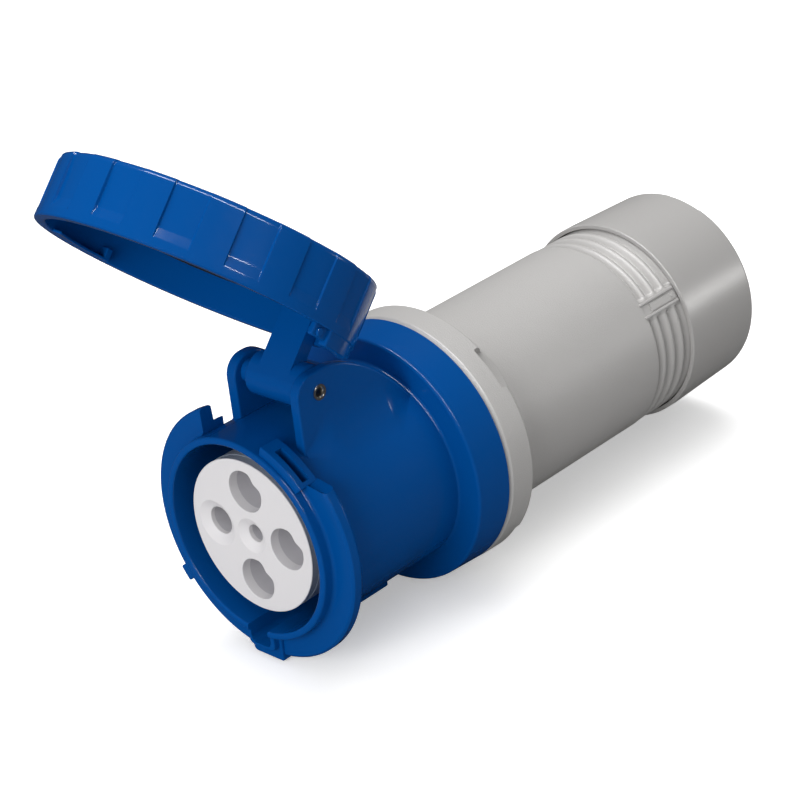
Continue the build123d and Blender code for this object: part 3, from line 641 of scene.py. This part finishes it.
for i in range(72):
    a = math.radians(5.0 * i)
    lift = -l["knuckleRise"] if math.cos(a) < 0 else 0.0
    knuckleLine.append((g["y"] + lift + l["knuckle"] * math.cos(a), g["z"] + l["knuckle"] * math.sin(a)))
slab(bm, knuckleLine, l["knuckleLeft"], l["knuckleRight"], alongX)
rounded(bm, 1.2, 4)
knuckle = toObject(bm, "knuckle")
bm = bmesh.new()
turnSolid(bm, [(l["spacer"], l["spacerLeft"]), (l["spacer"], l["knuckleLeft"] + 2.0)], segments=64)
spacer = toObject(bm, "spacer")
spacer.data.transform(ontoHinge)
lidCap = merged("lidCap", [capDisc, arm, knuckle, spacer])
lidCap.data.transform(swing)
finishPiece(lidCap, bluePlastic, "lid", "blue_lid", "lid_cap")


bodySizes = {
    "front": 90.0, "flange": 52.2, "flangeBack": 102.5, "radius": 41.5, "shoulder": 112.0, "threadStart": 196.0,
    "root": 38.8, "crest": 41.2, "pitch": 6.0, "ridges": 8, "back": 248.0, "rails": (27.2, 35.0), "railTop": 42.1,
    "railBack": 216.6, "pocketFloor": 41.7, "pocketRoof": 56.0, "pocketWidth": 18.4, "seat": 100.0, "padFade": 2.4,
}
b = bodySizes


def bodyLoop(angle):
    # section of the body; the valleys of the thread run out before the strip
    low, high = b["rails"]
    middle = (low + high) / 2
    away = abs((angle - middle + 180) % 360 - 180) - (high - low) / 2 - 1.2
    fade = min(1.0, max(0.0, away / b["padFade"]))
    depth = (b["crest"] - b["root"]) * fade * fade * (3 - 2 * fade)
    loop = list(bodyHead)
    loop.append((b["crest"] - depth, b["threadStart"] + 1.6))
    first = b["threadStart"] + 4.6
    steps = 12
    for index in range(b["ridges"]):
        centre = first + index * b["pitch"]
        for k in range(steps):
            y = centre - b["pitch"] / 2 + b["pitch"] * k / steps
            wave = 0.5 + 0.5 * math.cos(2 * math.pi * (y - centre) / b["pitch"])
            loop.append((b["crest"] - depth * (1 - wave ** 0.7), y))
    loop.append((b["crest"] - depth, first + (b["ridges"] - 0.5) * b["pitch"]))
    return loop + [(b["root"], b["back"]), (35.4, b["back"]), (35.4, 188.0), (38.4, 182.0)]


bodyHead = roundedLoop([
    (38.4, b["front"]), (b["flange"] - 1.2, b["front"], 0.3), (b["flange"], b["front"] + 1.4, 1.0),
    (b["flange"] + 0.2, b["flangeBack"], 0.9), (b["flange"] - 4.6, b["flangeBack"] + 4.8, 3.0),
    (b["radius"], b["shoulder"], 4.0), (b["radius"], 150.0), (38.4, 150.0)], steps=6)[:-1]
bodyHead += [
    (b["radius"], 170.0), (b["radius"], b["threadStart"] - 0.9),
    (b["radius"] - 0.05, b["threadStart"] - 0.4), (b["radius"] - 0.2, b["threadStart"])]
bodyAngles = sorted({round(360 * i / 288, 3) for i in range(288)} | {20 + 0.3125 * i for i in range(72)})
bm = bmesh.new()
sweepAround(bm, bodyLoop, bodyAngles)
shell = toObject(bm, "bodyShell")
for angle in (45, 135, 225, 315):
    bm = bmesh.new()
    w = b["pocketWidth"] / 2
    slab(bm, [(b["pocketFloor"], -w), (b["pocketRoof"], -w), (b["pocketRoof"], w), (b["pocketFloor"], w)],
         b["seat"], b["seat"] + 24, alongY)
    rounded(bm, 1.2, 4)
    pocket = toObject(bm, "pocket")
    pocket.data.transform(Matrix.Rotation(-math.radians(angle), 4, "Y"))
    carve(shell, pocket)
shellParts = [shell]
for angle in b["rails"]:
    shellParts.append(arcBlock("rail", (38.0, b["railTop"]), (b["threadStart"] - 1.4, b["railBack"]),
                               (angle - 0.8, angle + 0.8), 3, 0.35))
bodyShell = merged("bodyShell", shellParts)
finishPiece(bodyShell, greyGrained, "connector", "grey_body", "body_shell")


nutSizes = {"front": 217.0, "back": 261.0, "radius": 43.4, "rear": 42.2, "bore": 41.6, "hole": 19.0,
            "notches": (77.0, 197.0, 317.0), "notchWidth": 16.2, "notchDepth": 1.8}
n = nutSizes
bm = bmesh.new()
lathe(bm, roundedLoop([
    (n["bore"], n["front"], 0.3), (n["radius"], n["front"], 0.6), (n["radius"], n["front"] + 6.0),
    (n["radius"] - 0.3, 232.0), (n["rear"], n["back"], 2.2), (n["hole"], n["back"], 1.6), (n["hole"], 254.0),
    (36.6, 254.0), (36.6, 249.5), (n["bore"], 249.5)], steps=7), segments=288)
nut = toObject(bm, "glandNut")
for angle in n["notches"]:
    bm = bmesh.new()
    w = n["notchWidth"] / 2
    slab(bm, [(n["rear"] - 2.0, -w), (n["rear"] + 3.0, -w), (n["rear"] + 3.0, w), (n["rear"] - 2.0, w)],
         n["back"] - n["notchDepth"], n["back"] + 3, alongY)
    rounded(bm, 0.5, 3)
    notch = toObject(bm, "notch")
    notch.data.transform(Matrix.Rotation(-math.radians(angle), 4, "Y"))
    carve(nut, notch)
finishPiece(nut, greySmooth, "gland", "grey_nut", "gland_nut")


# Floor, light and camera
floorLevel = min(corner[2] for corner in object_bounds()) - 0.0001
bm = bmesh.new()
bmesh.ops.create_grid(bm, x_segments=1, y_segments=1, size=6.0, matrix=Matrix.Translation((0, 0, floorLevel)))
floor = toObject(bm, "floor")
floorPlan = {"seen": 0.95, "glow": 0.36, "bounce": 0.4, "mirror": 0.04}
floorMaterial = newMaterial("paleFloor", (floorPlan["seen"],) * 3, 0.9, 0.0)
floorTree = floorMaterial.node_tree
floorShader = floorTree.nodes["Principled BSDF"]
floorShader.inputs["Emission Color"].default_value = (1, 1, 1, 1)
floorShader.inputs["Emission Strength"].default_value = floorPlan["glow"]
floorBounce = floorTree.nodes.new("ShaderNodeBsdfDiffuse")
floorBounce.inputs["Color"].default_value = (*(floorPlan["bounce"],) * 3, 1)
floorMirror = floorTree.nodes.new("ShaderNodeBsdfDiffuse")
floorMirror.inputs["Color"].default_value = (*(floorPlan["mirror"],) * 3, 1)
floorPath = floorTree.nodes.new("ShaderNodeLightPath")
floorUnseen = floorTree.nodes.new("ShaderNodeMixShader")
floorTree.links.new(floorPath.outputs["Is Glossy Ray"], floorUnseen.inputs["Fac"])
floorTree.links.new(floorBounce.outputs["BSDF"], floorUnseen.inputs[1])
floorTree.links.new(floorMirror.outputs["BSDF"], floorUnseen.inputs[2])
floorMix = floorTree.nodes.new("ShaderNodeMixShader")
floorTree.links.new(floorPath.outputs["Is Camera Ray"], floorMix.inputs["Fac"])
floorTree.links.new(floorUnseen.outputs["Shader"], floorMix.inputs[1])
floorTree.links.new(floorShader.outputs["BSDF"], floorMix.inputs[2])
floorTree.links.new(floorMix.outputs["Shader"], floorTree.nodes["Material Output"].inputs["Surface"])
floor.data.materials.append(floorMaterial)
floor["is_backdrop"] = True

worldPlan = {"seen": 1.0, "fill": 0.5, "mirror": 0.03}
world = bpy.data.worlds.new("studio")
bpy.context.scene.world = world
world.use_nodes = True
tree = world.node_tree
path = tree.nodes.new("ShaderNodeLightPath")
skies = {}
for skyName, strength in worldPlan.items():
    skies[skyName] = tree.nodes.new("ShaderNodeBackground")
    skies[skyName].inputs["Color"].default_value = (1, 1, 1, 1)
    skies[skyName].inputs["Strength"].default_value = strength
tree.nodes.remove(tree.nodes["Background"])
mixGlossy = tree.nodes.new("ShaderNodeMixShader")
mixSeen = tree.nodes.new("ShaderNodeMixShader")
tree.links.new(path.outputs["Is Glossy Ray"], mixGlossy.inputs["Fac"])
tree.links.new(skies["fill"].outputs["Background"], mixGlossy.inputs[1])
tree.links.new(skies["mirror"].outputs["Background"], mixGlossy.inputs[2])
tree.links.new(path.outputs["Is Camera Ray"], mixSeen.inputs["Fac"])
tree.links.new(mixGlossy.outputs["Shader"], mixSeen.inputs[1])
tree.links.new(skies["seen"].outputs["Background"], mixSeen.inputs[2])
tree.links.new(mixSeen.outputs["Shader"], tree.nodes["World Output"].inputs["Surface"])


def softbox(name, place, aim, width, height, power, lights, shines):
    # lights: falls on surfaces; shines: is mirrored by them
    lamp = bpy.data.lights.new(name, "AREA")
    lamp.shape = "RECTANGLE"
    lamp.size = width
    lamp.size_y = height
    lamp.energy = power
    obj = bpy.data.objects.new(name, lamp)
    obj.location = place
    obj.rotation_euler = (Vector(aim) - Vector(place)).to_track_quat("-Z", "Y").to_euler()
    obj.visible_diffuse = lights
    obj.visible_glossy = shines
    bpy.context.scene.collection.objects.link(obj)
    obj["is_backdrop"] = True
    return obj


lightPlan = {
    "key": ((-0.30, 0.30, 1.30), (0.0, 0.08, 0.0), 1.5, 1.5, 17.0, True, False),
    "front": ((0.35, -1.30, 0.55), (0.0, 0.05, 0.0), 1.0, 0.8, 13.5, True, False),
    "topStrip": ((0.30, -0.05, 0.72), (0.1, -0.04, 0.05), 0.05, 1.3, 12.0, False, True),
    "sidePanel": ((0.446, 0.677, 0.072), (0.02, 0.2, 0.02), 0.16, 0.10, 0.35, False, True),
}
for lightName, (place, aim, width, height, power, lights, shines) in lightPlan.items():
    softbox(lightName, place, aim, width, height, power, lights, shines)

cameraPlan = {
    "place": (0.5990751, -0.4970181, 0.4304659),
    "right": (0.7308579, 0.6743178, -0.1055572),
    "up": (-0.2310343, 0.3899427, 0.8913853),
    "lens": 108.862,
}
cameraData = bpy.data.cameras.new("camera")
cameraData.lens = cameraPlan["lens"]
cameraData.sensor_width = 36.0
cameraData.clip_start = 0.01
camera = bpy.data.objects.new("camera", cameraData)
right, up = Vector(cameraPlan["right"]), Vector(cameraPlan["up"])
turn = Matrix((right, up, right.cross(up))).transposed()
camera.matrix_world = Matrix.Translation(cameraPlan["place"]) @ turn.to_4x4()
bpy.context.scene.collection.objects.link(camera)
bpy.context.scene.camera = camera
bpy.context.scene.view_settings.view_transform = "Standard"

print("floor, light and camera ready")
